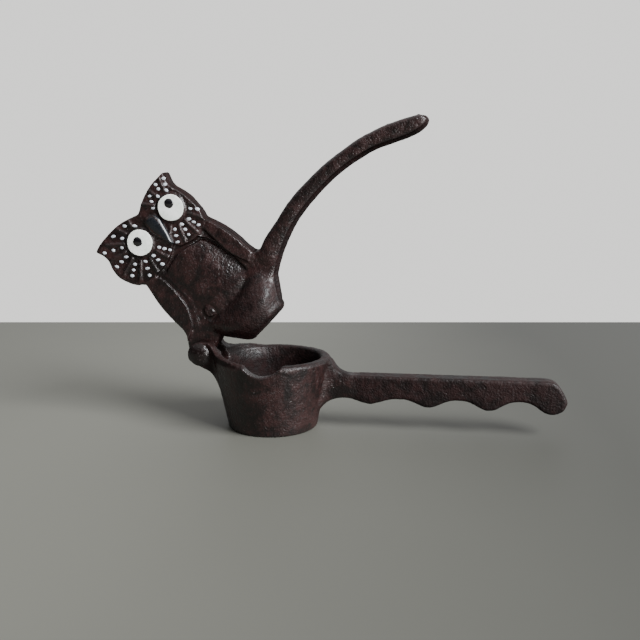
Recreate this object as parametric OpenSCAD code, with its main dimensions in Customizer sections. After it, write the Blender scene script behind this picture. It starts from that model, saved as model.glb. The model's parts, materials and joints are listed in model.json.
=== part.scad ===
// Lever nutcracker press, two iron castings joined by one rivet.
// The base is a tapered cup with a straight finger grip on one side and two hinge ears on the other.
// The lever is an owl in low relief, with a plunger under it that comes down into the cup, and a curved
// handle. Origin: centre of the cup's foot, on the table. +X points along the grip, +Z up, and the owl
// faces -Y. Lengths are millimetres and angles degrees.

/* [Cup] */
// Radius of the foot that stands on the table
foot_r = 20.2; // [19.2:0.1:21]
// Height of the rim above the table
cup_h = 32.3; // [30:0.1:35]
// Outer radius of the cup at the rim
rim_r = 26.4; // [25.6:0.2:28]
// Thickness of the wall at the rim
rim_wall = 4.8; // [3.5:0.1:6]
// Thickness of the wall at the foot
foot_wall = 4.7; // [4:0.1:6]
// Thickness of the cup's floor
floor_t = 5; // [3.5:0.5:7]
// Radius between the wall and the floor inside
bowl_round = 8; // [5:0.5:10]
// Rounding of the rim's two edges
lip_round = 1.6; // [0.8:0.1:1.7]
// Rounding of the foot's edge
foot_round = 1; // [0.5:0.1:2]
// Width of the notch in the front of the rim
notch_w = 17; // [12:0.5:20]
// Depth of the notch below the rim
notch_depth = 4.6; // [3:0.1:7]

/* [Grip] */
// Distance from the cup's axis to the end of the grip
grip_reach = 128.6; // [124:0.2:140]
// Height of the grip's straight top above the table
grip_top = 24.8; // [23.5:0.1:27]
// Thickness of the grip from front to back
grip_t = 9; // [7:0.5:11]
// Depth of the grip from its top to its last finger hollow
grip_depth = 9.3; // [8.5:0.1:11]
// How much deeper the grip is at its first hollow
grip_taper = 1.1; // [0:0.1:2]
// How far the last lobe stands down
lobe_depth = 5.2; // [2:0.1:6]
// How far the first lobe stands down
first_lobe_depth = 2.4; // [1:0.1:4]
// Distance from one lobe to the next
finger_pitch = 25.9; // [24:0.1:26]
// Radius of the bend where the grip's underside runs into the cup
root_r = 13; // [9:0.5:14]
// Width of the bevels along the grip's long edges
grip_bevel = 0.9; // [0.5:0.1:2.5]

/* [Hinge] */
// Distance from the outside of the rim to the rivet's axis
pivot_gap = 5.1; // [4.1:0.1:6.6]
// Height of the rivet's axis above the rim
pivot_rise = 0.7; // [-0.5:0.1:2]
// Radius of the rounded ends of the two ears
ear_r = 5.7; // [5.3:0.1:6.5]
// Thickness of each ear
ear_t = 4.1; // [3:0.1:5]
// Radius of the rivet's shank
rivet_r = 2.5; // [2:0.1:3]
// Radius of the rivet's two heads
rivet_head_r = 5; // [3.6:0.1:5.2]
// Height of the rivet's two heads
rivet_head_h = 1.8; // [0.9:0.1:2.2]
// Running clearance of the lever's bore round the rivet
bore_gap = 0.06; // [0.02:0.01:0.1]
// Side clearance between the lever's leg and each ear
side_gap = 0.3; // [0.2:0.05:0.5]
// Radius of the lever's leg round the rivet
leg_r = 5; // [4.6:0.1:5.4]
// Radial clearance round the end of the leg
leg_gap = 0.5; // [0.3:0.1:0.9]

/* [Lever] */
// How far the lever stands open at rest, from the owl standing upright
open_angle = 47; // [0:1:90]
// Thickness of the lever's plate and handle from front to back
plate_t = 8; // [7:0.5:9]
// Distance from the rivet to the tip of the handle
lever_reach = 141.5; // [136:0.5:150]
// Height of the handle's crest above the rivet, lever closed
crest_h = 17; // [16.5:0.1:19]
// How far the casting's edges are rounded off, front and back
edge_round = 1; // [0.6:0.1:2]

/* [Plunger] */
// Depth of the plunger's flat end below the rivet, lever closed
plunger_len = 12.4; // [10:0.2:14]
// Width of the plunger's flat end
plunger_w = 20.4; // [16:0.2:21]
// Width of the plunger at its shoulders, level with the rivet
plunger_shoulder_w = 38.6; // [34:0.2:40]
// Thickness of the plunger from front to back
plunger_t = 24; // [16:0.5:26]

/* [Owl] */
// Width of the owl's head from ear tip to ear tip
head_w = 49.6; // [47:0.2:52]
// Height of the head from chin to crown
head_h = 25; // [24:0.2:27]
// Height of the chin above the rivet, lever closed
chin_h = 41; // [39:0.5:43]
// Width of the body across the wings
body_w = 49.4; // [48:0.2:52]
// How far the face stands out from the plate
face_relief = 2; // [1:0.1:3]
// How far the wings stand out from the plate
wing_relief = 1.6; // [0.8:0.1:2.5]
// How far the middle of the breast stands out from the plate
breast_relief = 1.8; // [0.8:0.1:2.5]
// How far the beak stands out from the face
beak_relief = 1.8; // [1:0.1:2.5]
// Distance between the centres of the eyes
eye_spacing = 21.3; // [20:0.1:22]
// Radius of the white of each eye
eye_r = 5.9; // [5:0.1:6.5]
// How far the cast disc of each eye stands out from the face
eye_relief = 1; // [0.5:0.1:1.5]

/* [Enamel] */
// Thickness of each coat of enamel
enamel_t = 0.3; // [0.2:0.05:0.5]
// Radius of each pupil
pupil_r = 2.2; // [1.6:0.1:2.6]
// Length of a feather dab
dab_l = 1.9; // [1.4:0.1:2.4]
// Angle of the dabs' long way to the owl's level
dab_tilt = -45; // [-90:5:90]
// Width of a feather dab
dab_w = 1.3; // [0.8:0.1:1.4]

/* [Hidden] */
$fn = 96;
ARC_STEPS = 8;       // straight pieces in a drawn arc
CURVE_STEPS = 2;     // straight pieces between two points of a drawn curve

pivot_out = rim_r + pivot_gap;
pivot_h = cup_h + pivot_rise;
slot_t = plate_t + 2 * side_gap;
hinge_t = slot_t + 2 * ear_t;
rim_inner_r = rim_r - rim_wall;
foot_inner_r = foot_r - foot_wall;
wall_lean = atan((rim_r - foot_r) / cup_h);

// Points on an arc about c, from angle a to angle b
function arc(c, r, a, b, n = ARC_STEPS) =
    [for (i = [0:n]) c + r * [cos(a + (b - a) * i / n), sin(a + (b - a) * i / n)]];

// A smooth curve through the points p, by Catmull-Rom blending
function blend(a, b, c, d, t) =
    0.5 * (2 * b + (c - a) * t + (2 * a - 5 * b + 4 * c - d) * t * t + (3 * b - a - 3 * c + d) * t * t * t);
function curve(p, n = CURVE_STEPS) =
    let (last = len(p) - 1)
    concat([for (i = [0:last - 1], k = [0:n - 1])
        blend(p[max(i - 1, 0)], p[i], p[i + 1], p[min(i + 2, last)], k / n)], [p[last]]);
function backwards(p) = [for (i = [len(p) - 1:-1:0]) p[i]];

// Points p, drawn about [0, 0], stretched and moved to a place
function placed(p, at, stretch = [1, 1]) = [for (q = p) at + [q[0] * stretch[0], q[1] * stretch[1]]];

// A drawing in the X-Z plane, made solid between two Y values
module slab(y_front, y_back) {
    translate([0, y_back, 0]) rotate([90, 0, 0]) linear_extrude(y_back - y_front) children();
}

// The same, centred on Y = 0, with its long edges rounded off in two steps
module cast_slab(thickness, round_off) {
    half = thickness / 2;
    slab(-half + round_off, half - round_off) children();
    slab(-half + round_off * 0.4, half - round_off * 0.4) offset(delta = -round_off * 0.35) children();
    slab(-half, half) offset(delta = -round_off) children();
}

// A dome of radius r and height h on the plane z = 0
module dome(r, h) {
    ball_r = (r * r + h * h) / (2 * h);
    intersection() {
        translate([0, 0, h - ball_r]) sphere(ball_r);
        cylinder(h = h + 1, r = r + 1);
    }
}

// ---------------------------------------------------------------- base casting

module cup_outside() {
    rotate_extrude() polygon(concat(
        [[0, 0], [foot_r - foot_round, 0]],
        arc([foot_r - foot_round + 0.2, foot_round], foot_round, -80, 0, 4),
        arc([rim_r - lip_round, cup_h - lip_round], lip_round, 0, 90, 4),
        [[0, cup_h]]));
}

module cup_inside() {
    bowl_c = [foot_inner_r - bowl_round + 1.5, floor_t + bowl_round];
    lip_c = [rim_inner_r + lip_round, cup_h - lip_round];
    rotate_extrude() polygon(concat(
        [[0, floor_t]],
        arc(bowl_c, bowl_round, -90, -wall_lean, 6),
        arc(lip_c, lip_round, 190, 100, 4),
        [[lip_c[0], cup_h + 20], [0, cup_h + 20]]));
}

module rim_notch() {
    notch_r = (notch_w * notch_w / 4 + notch_depth * notch_depth) / (2 * notch_depth);
    translate([0.4, 0, cup_h - notch_depth + notch_r]) rotate([90, 0, 0]) cylinder(h = rim_r + 5, r = notch_r);
}

// A bar of half thickness half, standing out along +X, widens by a fillet of radius r into the cup's wall
module wall_flare(half, r) {
    mid_r = (foot_r + rim_r) / 2;
    turn = asin((half + r) / (mid_r + r));
    c = [sqrt(pow(mid_r + r, 2) - pow(half + r, 2)) - mid_r, half + r];
    fillet = arc(c, r, 270, 180 + turn);
    translate([foot_r, 0, 0]) rotate([0, wall_lean, 0]) translate([0, 0, -2]) linear_extrude(cup_h + 14)
        polygon(concat(fillet, [[-5, half + r], [-5, -half - r]], backwards([for (p = fillet) [p[0], -p[1]]])));
}

// The grip's underside stands down in a lobe behind each finger, deeper towards the end
last_lobe_x = grip_reach - 6.8;
first_lobe_x = last_lobe_x - 3 * finger_pitch;
function along(x) = (x - first_lobe_x) / (last_lobe_x - first_lobe_x);
function lobe(x) = (first_lobe_depth + (lobe_depth - first_lobe_depth) * along(x))
    * pow(0.5 + 0.5 * cos(360 * (x - last_lobe_x) / finger_pitch), 1.5);
function underside(x) = grip_top - grip_depth - grip_taper * (1 - along(x)) - lobe(x);

module grip_outline() {
    root_low = underside(first_lobe_x - 9);
    polygon(concat(
        [[0, grip_top + 3], [0, 4], [foot_r - 2, 4]],
        arc([foot_r + root_r - 0.4, root_low - root_r], root_r, 158, 92, 6),
        [for (x = [first_lobe_x - 9:2:last_lobe_x]) [x, underside(x)]],
        curve(placed([[-5, -grip_depth - lobe_depth], [-3.1, -13.8], [-1.3, -12.3], [-0.2, -10.1], [0, -8.7],
                      [-0.5, -7], [-1.7, -4.8], [-3.5, -2], [-5.8, -0.5], [-8.8, 0]], [grip_reach, grip_top])),
        arc([rim_r + 10.4, grip_top + 11], 11, 270, 206, 7)));
}

module grip() {
    cast_slab(grip_t, grip_bevel) grip_outline();
    intersection() {
        slab(-grip_t, grip_t) grip_outline();
        wall_flare(grip_t / 2 - grip_bevel * 0.4, 5);
    }
}

// Side view of the ears, from their round ends at the rivet to where they run into the cup
module ear_outline() {
    c = [-pivot_out, pivot_h];
    rim = cup_h - pivot_h;
    polygon(concat(
        arc(c, ear_r, 207, 80, 14),
        curve(placed([[4.1, ear_r - 0.2], [5.9, 4.2], [7.2, 2.4], [9.2, rim + 1.9], [12, rim + 1.4], [16.5, rim + 0.9],
                      [21.5, rim]], c)),
        placed([[23, rim - 2], [15, -18], [9.6, -18]], c),
        backwards(curve(placed([[-3.7, -3.6], [-1.5, -4.7], [1.6, -6.2], [3.7, -7.4], [5.6, -9.8], [8.1, -14],
                                [9.6, -18]], c)))));
}

module ears() {
    intersection() {
        slab(-hinge_t / 2, hinge_t / 2) ear_outline();
        translate([-pivot_out - 20, -20, 0]) cube([pivot_out, 40, cup_h + 20]);
    }
    intersection() {
        slab(-rim_r, rim_r) ear_outline();
        union() {
            mirror([1, 0, 0]) wall_flare(hinge_t / 2 - 0.2, 7);
            rotate_extrude() polygon([[0, 2], [foot_r - 0.1, 2], [rim_r - 0.1 + 5 * tan(wall_lean), cup_h + 5],
                                      [0, cup_h + 5]]);
        }
    }
}

// Where the lever's leg turns between the ears, and passes through the rim when the lever is closed
module leg_slot() {
    slab(-slot_t / 2, slot_t / 2) translate([-pivot_out, pivot_h]) union() {
        circle(leg_r + leg_gap);
        polygon([[0, 0], [-20, -14], [-20, 20], [20, 20], [20, -3.8], [0, -3.8]]);
    }
}

module cup_base() {
    color("#33241f") difference() {
        union() {
            cup_outside();
            grip();
            ears();
        }
        cup_inside();
        rim_notch();
        leg_slot();
        on_pivot() cylinder(h = hinge_t + 2, r = rivet_r, center = true);
    }
}

// ---------------------------------------------------------------- rivet

// The rivet's axis, as the Z axis of what is drawn in it
module on_pivot() {
    translate([-pivot_out, 0, pivot_h]) rotate([90, 0, 0]) children();
}

module pivot_rivet() {
    color("#2b211e") on_pivot() {
        cylinder(h = hinge_t, r = rivet_r, center = true);
        for (side = [0, 180]) rotate([side, 0, 0]) translate([0, 0, hinge_t / 2])
            dome(rivet_head_r, rivet_head_h);
    }
}

// ---------------------------------------------------------------- lever casting
// It is drawn with the owl upright, in X and Z from the rivet, then turned to its rest position.

module lever_place() {
    translate([-pivot_out, 0, pivot_h]) rotate([0, -open_angle, 0]) children();
}

plunger_x = pivot_out - 1;        // the plunger closes over the middle of the cup
face_y = -plate_t / 2 - face_relief;
eye_y = face_y - eye_relief;

// The head is drawn about the foot of the beak, 49.6 wide and 25 high. It is turned a little, so that
// the face's left disc is the wider one.
face_x = 28;
function head(p) = placed(p, [face_x, chin_h], [head_w / 49.6, head_h / 25]);
crown = head([[20.8, 25.1], [17.3, 25.4], [12.6, 25.6], [8.6, 25.1], [4.6, 24.1], [1.9, 23.1], [-1.1, 21.7],
              [-3.8, 22.7], [-7.5, 24.3], [-11.4, 25.4], [-15.6, 26], [-20.4, 26.2], [-24.6, 26],
              [-28.1, 25.1]]);
left_cheek = head([[-28.1, 25.1], [-27.2, 22.8], [-26.7, 20], [-26.9, 17.6], [-27.9, 15.5], [-28.7, 12.7],
                   [-29, 9.4], [-28.1, 5.9], [-26.4, 2.2], [-24.8, 0.1]]);
right_cheek = head([[18.4, 0], [18.6, 2.6], [19.8, 5.7], [20.5, 9.4], [20, 14], [18.9, 18], [19, 20.8],
                    [20, 23.2], [20.8, 25.1]]);
left_jaw = head([[-24.8, 0.1], [-21.5, -1.9], [-16.8, -3], [-11, -3.1], [-6.4, -2.7], [-2.3, -1.1], [0.2, 0.4]]);
right_jaw = head([[0.2, 0.4], [1.6, -2.4], [4.4, -4], [8.7, -5.3], [12.9, -5.1], [17.5, -3.1], [19.6, 0],
                  [20.5, 4.6], [20.5, 9.4]]);

// The body is drawn 49.4 wide, with its neck 41 above the rivet
body_x = 25.8;
function body(p) = placed([for (q = p) q - [body_x, 0]], [body_x, 0], [body_w / 49.4, chin_h / 41]);
right_wing = body([[51, 14.2], [50.5, 18], [50.5, 22.3], [50.1, 26.2], [49.3, 31.4], [48, 36.1], [46.4, 40.6]]);
left_wing = body([[4.5, 40.2], [3.9, 37.1], [2.8, 32.8], [1.8, 27.6], [1.2, 21.9], [1.2, 16.8], [1.2, 13.5],
                  [0.1, 10.2], [-1.6, 8.3]]);
right_wing_edge = body([[46, 11.5], [44.6, 15], [43, 20], [42.2, 27], [40.4, 33.5], [37.5, 37.5], [45, 40.5]]);
left_wing_edge = body([[0.8, 8.8], [6.5, 10.6], [9.6, 14.8], [12, 19.5], [13, 25.5], [13.3, 31], [12.8, 36.8],
                       [7, 41]]);

// The handle is drawn with its tip 141.5 from the rivet and its crest 17 above it
handle_root = 58;
handle_stretch = (lever_reach - handle_root) / (141.5 - handle_root);
function handle(p) = [for (q = p)
    [q[0] + max(0, q[0] - handle_root) * (handle_stretch - 1),
     q[1] + (crest_h - 17) * sin(min(180, max(0, (q[0] - handle_root) * 2)))]];
handle_upper = handle([[141.5, -1.6], [139.6, 0.9], [134.6, 4.2], [128.7, 7.5], [122.9, 10.1], [116, 12.6],
                       [108.3, 14.4], [100.3, 16], [92, 16.8], [85.3, 17], [79.3, 17], [73.8, 16.5], [67.5, 15.4],
                       [64.3, 15], [58.8, 14.1], [55.4, 13.2], [53.2, 12.5], [51.8, 12.8]]);
handle_lower = handle([[53.5, 1.6], [58.2, 3.9], [63.7, 6.1], [70.2, 8.1], [76.5, 9.2], [84.2, 9.8], [91.4, 9.8],
                       [98.6, 9.3], [105.4, 8.2], [112.2, 6.5], [118.6, 4.2], [124.6, 1], [130.6, -2.3],
                       [135.2, -4], [138.8, -4.5], [141.2, -3.6], [141.5, -1.6]]);

// The plunger seen from the front, from its left shoulder round to its right one
shoulder = plunger_shoulder_w / 2;
plunger_end = plunger_w / 2;
plunger_edge = placed([[-shoulder + 1, -1], [-plunger_end - 0.6, -plunger_len + 1.3],
                       [-plunger_end + 1, -plunger_len], [plunger_end - 1, -plunger_len],
                       [plunger_end + 0.6, -plunger_len + 1], [shoulder, -0.6]], [plunger_x, 0]);

module lever_outline() {
    leg_back = [[-leg_r + 0.3, 3.4], [-3.6, 5.8]];
    leg_front = [[plunger_x - shoulder - 0.6, -1.7]];
    polygon(concat(
        curve(crown), curve(left_cheek), curve(left_wing), backwards(leg_back),
        arc([0, 0], leg_r, 170, 325, 12), leg_front, plunger_edge, curve(handle_lower), curve(handle_upper),
        curve(right_wing), curve(right_cheek)));
}

// The face: two round discs that meet at the foot of the beak, up to the crown and the ears
module face_outline() {
    upper_right = [for (i = [3:len(right_cheek) - 1]) right_cheek[i]];
    polygon(concat(curve(crown), curve(left_cheek), curve(left_jaw), curve(right_jaw), curve(upper_right)));
}

module wing_outlines() {
    inset = [edge_round, 0];
    polygon(concat([for (p = curve(left_wing)) p + inset], curve(left_wing_edge)));
    polygon(concat([for (p = curve(right_wing)) p - inset * 0.5], backwards(curve(right_wing_edge))));
}

module breast_outline() {
    polygon(curve(body([[14.6, 36], [14.9, 31], [14.5, 25], [13.4, 19], [11.4, 13], [16.4, 8], [21, 6.8], [30, 6.8],
                        [37, 8], [42.6, 11], [41.4, 19], [40.6, 27], [39, 33], [35.5, 35], [26, 37.5], [14.6, 36]])));
}

// The breast is a pillow: its face is part of a large cylinder that stands upright
module breast() {
    breast_r = 60;
    intersection() {
        slab(-plate_t, 0) breast_outline();
        translate([body_x + 2, breast_r - plate_t / 2 - breast_relief, 0]) cylinder(h = chin_h, r = breast_r);
    }
}

module beak_outline(inset = 0) {
    offset(delta = -inset) polygon(head([[0.6, 17.2], [4.2, 15.4], [4.4, 12.9], [3.7, 9.7], [2.3, 5.2], [0.8, 0.8],
                                         [-0.4, 2.9], [-1.4, 7], [-2.4, 11.9], [-1.6, 16]]));
}

// Eye centres: the eyes stand 12.2 above the chin, either side of the beak
function eye_centre(side) = [face_x + 0.95 + side * eye_spacing / 2, chin_h + 12.1 - side * 0.2];

// Draws on the front of the lever: X stays, Y becomes Z, and what is extruded stands out to the front
module on_front(at, y) {
    translate([at[0], y, at[1]]) rotate([90, 0, 0]) children();
}

// The plunger is a blunt cone, flattened front and back, that swells out of the plate. Each level of it is
// a height over the rivet, a half thickness drawn for a plunger 24 thick and 12.4 long, and the share of its
// width that it takes up on the handle's side, where the plate runs on into the handle.
plunger_levels = [[-12.4, 8.4, 1], [-11.3, 9.8, 1], [-6.2, 11.8, 1], [-4.4, 12, 1], [-2.4, 11.5, 1],
                  [2.4, 8.7, 0.86], [7.4, 3.8, 0.72]];
level_plan = [[1, 0], [0.89, 0.35], [0.76, 0.63], [0.56, 0.86], [0.31, 0.97], [0, 1]];
plunger_slope = (shoulder - plunger_end) / plunger_len;

module plunger() {
    rim = plate_t / 2 - 0.2;
    hull() for (level = plunger_levels) {
        rise = level[0] < 0 ? level[0] * plunger_len / 12.4 : level[0];
        rounding = rise + plunger_len < 0.1 ? 0.8 : 0;
        wide = min(shoulder, plunger_end + (rise + plunger_len) * plunger_slope) - rounding;
        deep = max(rim, level[1] * plunger_t / 24);
        right = [for (p = level_plan) [p[0] * wide * level[2], rim + p[1] * (deep - rim)]];
        left = [for (p = level_plan) if (p[0] > 0) [-p[0] * wide, rim + p[1] * (deep - rim)]];
        half = concat(right, backwards(left));
        translate([plunger_x, 0, rise]) linear_extrude(0.05)
            polygon(concat(half, backwards([for (p = half) [p[0], -p[1]]])));
    }
}

module owl_lever() {
    color("#33241f") lever_place() difference() {
        union() {
            cast_slab(plate_t, edge_round) lever_outline();
            slab(face_y + face_relief * 0.4, 0) offset(delta = -edge_round * 0.1) face_outline();
            slab(face_y, 0) offset(delta = -edge_round * 0.4) face_outline();
            slab(-plate_t / 2 - wing_relief, 0) wing_outlines();
            slab(face_y - beak_relief, 0) beak_outline();
            for (side = [-1, 1]) on_front(eye_centre(side), face_y + 1)
                cylinder(h = eye_relief + 1, r = eye_r + 0.4);
            breast();
            plunger();
        }
        rotate([90, 0, 0]) cylinder(h = plate_t + 2, r = rivet_r + bore_gap, center = true);
    }
}

// ---------------------------------------------------------------- enamel on the owl's face

module eye_enamel() {
    color("#e9e4d4") lever_place() for (side = [-1, 1])
        on_front(eye_centre(side), eye_y) cylinder(h = enamel_t, r = eye_r);
}

// Each pupil: which side, and how far it is off the middle of the eye
module pupil_enamel() {
    color("#101013") lever_place() for (pupil = [[-1, [-0.2, 0.9]], [1, [1, 1.7]]])
        on_front(eye_centre(pupil[0]) + pupil[1], eye_y - enamel_t) cylinder(h = enamel_t, r = pupil_r);
}

module beak_enamel() {
    color("#15181f") lever_place() slab(face_y - beak_relief - enamel_t, face_y - beak_relief) beak_outline(0.4);
}

// Rays of dabs about an eye: which side, angle, distance of the first dab, distance between dabs, count
dab_rays = [
    [-1, 59, 7.6, 3, 1], [-1, 86, 9.9, 3, 1], [-1, 121, 8.4, 4.2, 2], [-1, 149, 8.8, 4.3, 3], [-1, 177, 9.3, 3.2, 3],
    [-1, 207, 10.1, 2.7, 3], [-1, 238, 8.7, 3.2, 3], [-1, 270, 8.5, 2.7, 3], [-1, 300, 9.2, 2.5, 3],
    [1, 55, 7.6, 2.6, 3], [1, 76, 9.6, 2.2, 2], [1, 92, 7.4, 3, 1], [1, 105, 10.6, 3, 1], [1, 116, 9, 3, 1],
    [1, 135, 8, 3, 1], [1, 310, 9, 3.2, 2], [1, 282, 9.6, 2.5, 3], [1, 257, 8.7, 2.7, 3], [1, 233, 9.6, 2.8, 3]];
ray_shift = [-0.3, 0.4];          // the rays meet a little beside the eye's middle
ray_scale = head_w / 49.6;        // the distances are drawn for a head 49.6 wide

module dab() {
    linear_extrude(enamel_t) union() {
        for (end = [-1, 1]) translate([end * (dab_l - dab_w) / 2, 0]) circle(dab_w / 2, $fn = 24);
        square([dab_l - dab_w, dab_w], center = true);
    }
}

module feather_dabs() {
    color("#d9dde2") lever_place() for (ray = dab_rays, i = [0:ray[4] - 1])
        on_front(eye_centre(ray[0]) + ray_shift * ray_scale, face_y) rotate(ray[1])
            translate([(ray[2] + i * ray[3]) * ray_scale, 0]) rotate(dab_tilt - ray[1]) dab();
}

cup_base();
owl_lever();
pivot_rivet();
eye_enamel();
pupil_enamel();
beak_enamel();
feather_dabs();
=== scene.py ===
# Lever nutcracker press: two iron castings, the rivet that joins them, and the enamel on the owl's face.
#
# Places on the lever are written with the owl upright, in millimetres: X and Z from the rivet, and depth
# from the middle of the plate towards the owl's face. on_lever() turns them to the rest position. Places
# on the base are in millimetres in the frame of the whole press.
#
# A mask holds a number from 0 to 1 for each point of a casting. rise(), fall() and bell() draw its edges.

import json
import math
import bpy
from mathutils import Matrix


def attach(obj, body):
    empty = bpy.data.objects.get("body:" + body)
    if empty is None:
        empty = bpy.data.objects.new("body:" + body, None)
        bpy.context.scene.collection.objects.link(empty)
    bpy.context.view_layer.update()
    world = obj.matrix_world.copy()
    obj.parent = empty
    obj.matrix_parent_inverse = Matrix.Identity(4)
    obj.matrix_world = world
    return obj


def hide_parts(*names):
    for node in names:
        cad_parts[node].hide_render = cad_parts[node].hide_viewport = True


bl_info = {
    "name": "Lever nutcracker press",
    "version": (1, 0, 0),
    "blender": (4, 5, 0),
    "location": "3D View > Sidebar > Press",
    "description": "Castings, rivet and enamel of a cast iron owl nutcracker",
    "category": "Object",
}

import bmesh
import bpy
import numpy as np
from bpy.props import FloatProperty, FloatVectorProperty, IntProperty, PointerProperty
from mathutils import Vector, noise

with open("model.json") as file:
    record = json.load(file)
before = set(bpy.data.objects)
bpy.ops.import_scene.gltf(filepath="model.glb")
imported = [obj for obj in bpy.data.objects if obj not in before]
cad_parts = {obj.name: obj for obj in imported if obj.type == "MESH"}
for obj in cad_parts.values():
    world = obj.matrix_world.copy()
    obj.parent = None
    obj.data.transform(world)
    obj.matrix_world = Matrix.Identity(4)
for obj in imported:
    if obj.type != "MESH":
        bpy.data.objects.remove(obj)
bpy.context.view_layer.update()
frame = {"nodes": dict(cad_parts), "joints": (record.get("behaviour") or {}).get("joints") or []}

MM = 0.001
PIVOT = tuple(v / MM for v in frame["joints"][0]["pos_m"])
OPEN_ANGLE = math.radians(47)
FACE_DEPTH = 6.0
EYE_DEPTH = 7.0
LEFT_EYE = (18.3, 53.3)
RIGHT_EYE = (39.6, 52.9)


# ---------------------------------------------------------------- places and masks

def on_lever(x, depth, z):
    """Millimetres on the upright owl, turned to the rest position, in metres."""
    c, s = math.cos(OPEN_ANGLE), math.sin(OPEN_ANGLE)
    return np.stack([PIVOT[0] + x * c - z * s, -depth + 0 * x, PIVOT[2] + x * s + z * c], -1) * MM


def off_lever(points):
    """Points in metres, as X, depth and Z on the upright owl, in millimetres."""
    c, s = math.cos(OPEN_ANGLE), math.sin(OPEN_ANGLE)
    x, y, z = (points / MM - PIVOT).T
    return x * c + z * s, -y, -x * s + z * c


def ease(t):
    """0 below 0, 1 above 1, and a smooth step between."""
    t = np.clip(t, 0, 1)
    return t * t * (3 - 2 * t)


def rise(value, start, length):
    """0 up to the start, and 1 from a length past it."""
    return ease((value - start) / length)


def fall(value, end, length):
    """1 until a length before the end, and 0 from the end on."""
    return ease((end - value) / length)


def bell(distance, width):
    """1 in the middle, fading both ways. The width is where a third is left."""
    return np.exp(-((distance / width) ** 2))


def from_line(x, z, line):
    """Distance from each point to a drawn line, in millimetres."""
    nearest = np.full(len(x), np.inf)
    for (ax, az), (bx, bz) in zip(line[:-1], line[1:]):
        dx, dz = bx - ax, bz - az
        t = np.clip(((x - ax) * dx + (z - az) * dz) / (dx * dx + dz * dz), 0, 1)
        nearest = np.minimum(nearest, np.hypot(x - ax - t * dx, z - az - t * dz))
    return nearest


# ---------------------------------------------------------------- meshes

def new_piece(name, mesh):
    piece = bpy.data.objects.new(name, mesh)
    bpy.context.scene.collection.objects.link(piece)
    return piece


def flattened(piece):
    """The piece with its modifiers worked into a plain mesh."""
    shown = piece.evaluated_get(bpy.context.evaluated_depsgraph_get())
    mesh = bpy.data.meshes.new_from_object(shown)
    piece.modifiers.clear()
    old, piece.data = piece.data, mesh
    mesh.name = piece.name
    bpy.data.meshes.remove(old)
    return piece


def casting_skin(node, name, grid):
    """A copy of a CAD casting, as one even skin of small quads."""
    mesh = frame["nodes"][node].data.copy()
    mesh.materials.clear()
    work = bmesh.new()
    work.from_mesh(mesh)
    bmesh.ops.remove_doubles(work, verts=work.verts, dist=0.001 * MM)
    work.to_mesh(mesh)
    work.free()
    piece = new_piece(name, mesh)
    skin = piece.modifiers.new("Even skin", "REMESH")
    skin.mode = "VOXEL"
    skin.voxel_size = grid
    skin.use_smooth_shade = True
    return flattened(piece)


def read_points(mesh):
    points = np.empty(len(mesh.vertices) * 3)
    mesh.vertices.foreach_get("co", points)
    return points.reshape(-1, 3)


def write_points(mesh, points):
    mesh.vertices.foreach_set("co", points.ravel())
    mesh.update()


def read_normals(mesh):
    normals = np.empty(len(mesh.vertices) * 3)
    mesh.vertices.foreach_get("normal", normals)
    return normals.reshape(-1, 3)


def read_edges(mesh):
    ends = np.empty(len(mesh.edges) * 2, int)
    mesh.edges.foreach_get("vertices", ends)
    return ends.reshape(-1, 2)


def softened(points, edges, passes, mask=None):
    """The points after each has moved half way to the middle of its neighbours, some times over."""
    a, b = edges.T
    number = len(points)
    neighbours = np.bincount(np.concatenate([a, b]), minlength=number)[:, None]
    for _ in range(passes):
        total = np.stack([np.bincount(a, points[b, k], number) + np.bincount(b, points[a, k], number)
                          for k in range(3)], 1)
        step = (total / neighbours - points) / 2
        points = points + (step if mask is None else step * mask[:, None])
    return points


# Edges that stand out are found by how far softening pulls them in. The material lightens them, partly as
# worn iron and partly as a painted highlight.
WEAR_AND_HIGHLIGHT_PASSES = 8
WEAR_AND_HIGHLIGHT_STARTS = 0.03
WEAR_AND_HIGHLIGHT_SPAN = 0.16


def keep_wear_highlight_and_darkening(mesh, edges, dull):
    """Stores how much each point is lightened, as worn iron and painted highlight on edges that stand out,
    and where it is made darker and duller, with painted shade inside the cup.
    """
    points = read_points(mesh)
    out = points - softened(points, edges, WEAR_AND_HIGHLIGHT_PASSES)
    height = np.maximum(0, (out * read_normals(mesh)).sum(1)) / MM
    for name, mask in (("wear", rise(height, WEAR_AND_HIGHLIGHT_STARTS, WEAR_AND_HIGHLIGHT_SPAN)), ("dull", dull)):
        mesh.attributes.new(name, "FLOAT", "POINT").data.foreach_set("value", mask)


def lumps(points, size, seed):
    """Slow unevenness from -1 to 1, as sand moulds leave it. Size is in millimetres, and the seed picks
    another stretch of the same noise.
    """
    shift = Vector((seed, seed * 0.7, -seed))
    return np.array([noise.noise(Vector(p) / (size * MM) + shift) for p in points])


def waves(points, table):
    """Several kinds of lumps together, from rows of share, size and seed."""
    return sum(share * lumps(points, size, seed) for share, size, seed in table)


# ---------------------------------------------------------------- finishes

def socket(tree, name, kind, way="INPUT", value=None):
    made = tree.interface.new_socket(name=name, in_out=way, socket_type=kind)
    if value is not None:
        made.default_value = value


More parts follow.
